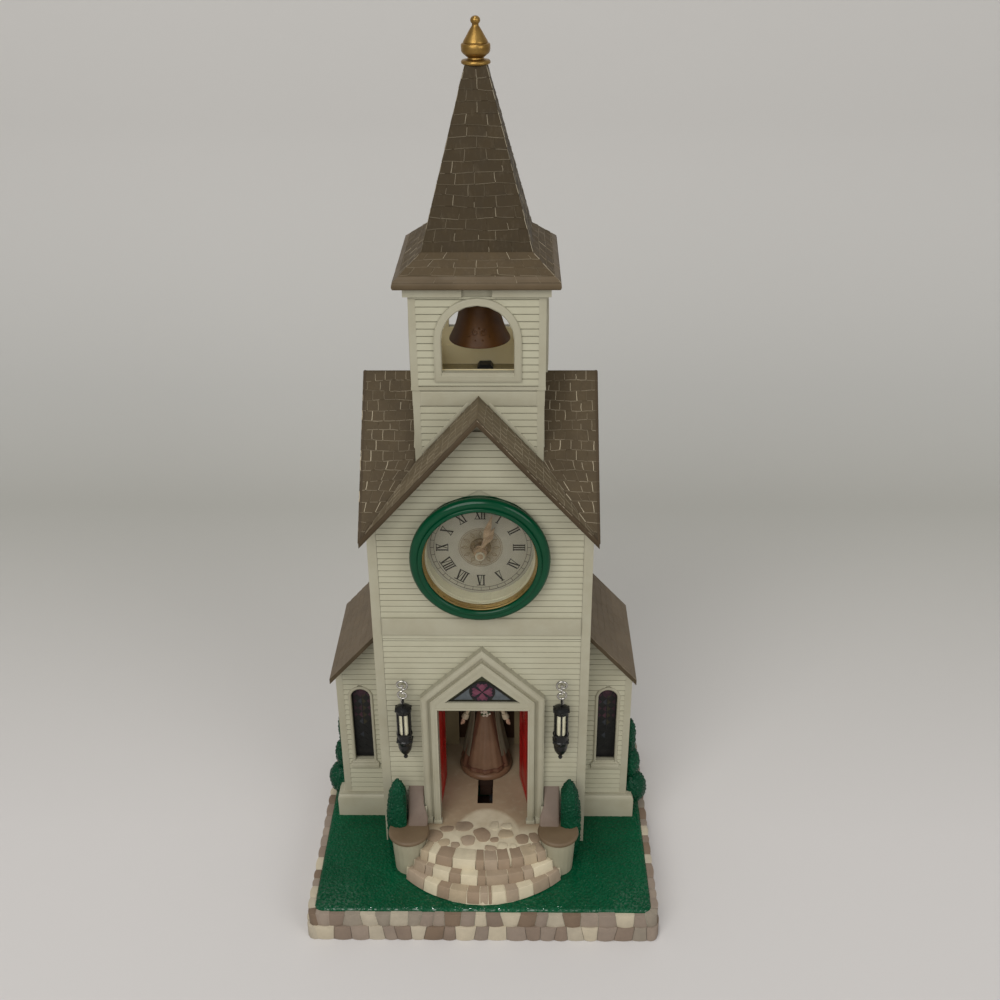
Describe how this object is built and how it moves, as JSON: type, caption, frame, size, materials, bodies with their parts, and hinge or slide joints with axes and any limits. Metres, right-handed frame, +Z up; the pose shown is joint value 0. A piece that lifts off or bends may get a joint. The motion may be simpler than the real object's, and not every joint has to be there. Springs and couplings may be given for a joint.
{
  "type": "musical mantel clock",
  "caption": "Church-shaped musical clock: steeple with swinging bell, dial in the gable, doors that open on a sliding bride figure, stone-edged lawn base.",
  "frame": {"origin": "middle of the base's footprint, on the table", "axes": "+X to the viewer's right, +Y from the doors to the rear cover, +Z up the steeple"},
  "size_m": [0.169, 0.142, 0.4052],
  "materials": {
    "ivory": "satin moulded plastic",
    "shingle": "satin taupe-brown moulded shingles",
    "cobble": "painted cobbles in cream grout",
    "paving": "tan floor and painted cobbles",
    "coping": "satin",
    "lawn_green": "granular gloss",
    "leaf_green": "gloss with leaf relief",
    "bezel_green": "gloss",
    "gold": "polished gold tone",
    "hand_gold": "satin gold tone",
    "bell_bronze": "satin bronze tone",
    "dark_pane": "gloss",
    "stained_panel": "printed stained glass",
    "door_red": "gloss",
    "stage_brown": "matt",
    "figure_paint": "painted figure",
    "carriage_brown": "satin",
    "gear_white": "natural",
    "motor_steel": "plain",
    "clear_lens": "clear acrylic",
    "dial_paper": "printed card",
    "black_plastic": "matt",
    "lantern_black": "gloss black with cream panes",
    "hook_steel": "polished",
    "cell_jacket": "printed jacket",
    "screw_steel": "zinc plated",
    "button_red": "gloss"
  },
  "bodies": {
    "church": {"base_plinth": "cobble", "lawn": "lawn_green", "lower_case": "ivory", "upper_case": "ivory", "main_roof": "shingle", "tower_lower": "ivory", "belfry": "ivory", "spire_roof": "shingle", "finial": "gold", "left_wing": "ivory", "right_wing": "ivory", "left_window_pane": "dark_pane", "right_window_pane": "dark_pane", "left_wing_roof": "shingle", "right_wing_roof": "shingle", "steps_and_floor": "paving", "left_wall_cap": "coping", "right_wall_cap": "coping", "left_cheek_wall": "ivory", "right_cheek_wall": "ivory", "left_front_bush": "leaf_green", "right_front_bush": "leaf_green", "left_side_shrub": "leaf_green", "right_side_shrub": "leaf_green", "door_surround": "ivory", "tympanum_glass": "stained_panel", "stage_box": "stage_brown", "drive_motor": "motor_steel", "clock_bezel": "bezel_green", "clock_well": "ivory", "gold_ring": "gold", "clock_lens": "clear_lens", "clock_dial": "dial_paper", "clock_movement": "black_plastic", "bell_hanger": "ivory", "bell_magnet": "black_plastic", "left_lantern_hook": "hook_steel", "right_lantern_hook": "hook_steel", "rear_cover": "ivory", "battery_cell_1": "cell_jacket", "battery_cell_2": "cell_jacket", "cover_screw_1": "screw_steel", "cover_screw_2": "screw_steel", "speaker": "black_plastic"},
    "left_door": {"left_door": "door_red"},
    "right_door": {"right_door": "door_red"},
    "figure": {"bride_figure": "figure_paint", "figure_carriage": "carriage_brown"},
    "pinion": {"drive_pinion": "gear_white"},
    "minute_hand": {"minute_hand": "hand_gold"},
    "hour_hand": {"hour_hand": "hand_gold"},
    "set_knob": {"time_set_knob": "black_plastic"},
    "bell": {"bell": "bell_bronze"},
    "clapper": {"bell_clapper": "bell_bronze"},
    "left_lantern": {"left_lantern": "lantern_black"},
    "right_lantern": {"right_lantern": "lantern_black"},
    "battery_door": {"battery_door": "ivory"},
    "rear_hatch": {"rear_hatch": "ivory"},
    "music_switch": {"music_switch": "black_plastic"},
    "play_button": {"play_button": "button_red"}
  },
  "joints": [
    {"name": "left_door_hinge", "type": "hinge", "parent": "church", "child": "left_door", "pos_m": [-0.0229, -0.0149, 0.034], "axis": [0, 0, 1], "range_deg": [-86, 0]},
    {"name": "right_door_hinge", "type": "hinge", "parent": "church", "child": "right_door", "pos_m": [0.0229, -0.0149, 0.034], "axis": [0, 0, 1], "range_deg": [0, 79]},
    {"name": "figure_slide", "type": "slide", "parent": "church", "child": "figure", "axis": [0, 1, 0], "range_m": [-0.017, 0.0064]},
    {"name": "pinion_spin", "type": "hinge", "parent": "church", "child": "pinion", "pos_m": [0.0088, 0.013, 0.026], "axis": [0, 0, 1], "range_deg": [-85, 210]},
    {"name": "minute_hand_turn", "type": "hinge", "parent": "church", "child": "minute_hand", "pos_m": [0, -0.0216, 0.1878], "axis": [0, 1, 0], "continuous": true},
    {"name": "hour_hand_turn", "type": "hinge", "parent": "church", "child": "hour_hand", "pos_m": [0, -0.0202, 0.1878], "axis": [0, 1, 0], "continuous": true},
    {"name": "set_knob_turn", "type": "hinge", "parent": "church", "child": "set_knob", "pos_m": [0, 0.0005, 0.1758], "axis": [0, 1, 0], "continuous": true},
    {"name": "bell_swing", "type": "hinge", "parent": "church", "child": "bell", "pos_m": [0, 0.015, 0.3], "axis": [1, 0, 0], "range_deg": [-15, 15]},
    {"name": "clapper_swing", "type": "hinge", "parent": "bell", "child": "clapper", "pos_m": [0, 0.015, 0.2906], "axis": [1, 0, 0], "range_deg": [-28, 28]},
    {"name": "left_lantern_swing", "type": "hinge", "parent": "church", "child": "left_lantern", "pos_m": [-0.0372, -0.0289, 0.1112], "axis": [0, 1, 0], "range_deg": [-5, 15]},
    {"name": "right_lantern_swing", "type": "hinge", "parent": "church", "child": "right_lantern", "pos_m": [0.0372, -0.0289, 0.1112], "axis": [0, 1, 0], "range_deg": [-15, 5]},
    {"name": "battery_door_hinge", "type": "hinge", "parent": "church", "child": "battery_door", "pos_m": [0, 0.0554, 0.1014], "axis": [-1, 0, 0], "range_deg": [0, 110]},
    {"name": "rear_hatch_hinge", "type": "hinge", "parent": "church", "child": "rear_hatch", "pos_m": [0, 0.05075, 0.1597], "axis": [-1, 0, 0], "range_deg": [0, 95]},
    {"name": "music_switch_slide", "type": "slide", "parent": "church", "child": "music_switch", "axis": [1, 0, 0], "range_m": [0, 0.0046]},
    {"name": "play_button_press", "type": "slide", "parent": "church", "child": "play_button", "axis": [0, -1, 0], "range_m": [0, 0.0022], "stiffness_N_per_m": 120}
  ],
  "couplings": [
    {"joint": "right_door_hinge", "follows": "left_door_hinge", "ratio": -0.9186},
    {"joint": "pinion_spin", "follows": "figure_slide", "rad_per_m": -208.33},
    {"joint": "hour_hand_turn", "follows": "minute_hand_turn", "ratio": 0.083333},
    {"joint": "set_knob_turn", "follows": "minute_hand_turn", "ratio": -1}
  ]
}
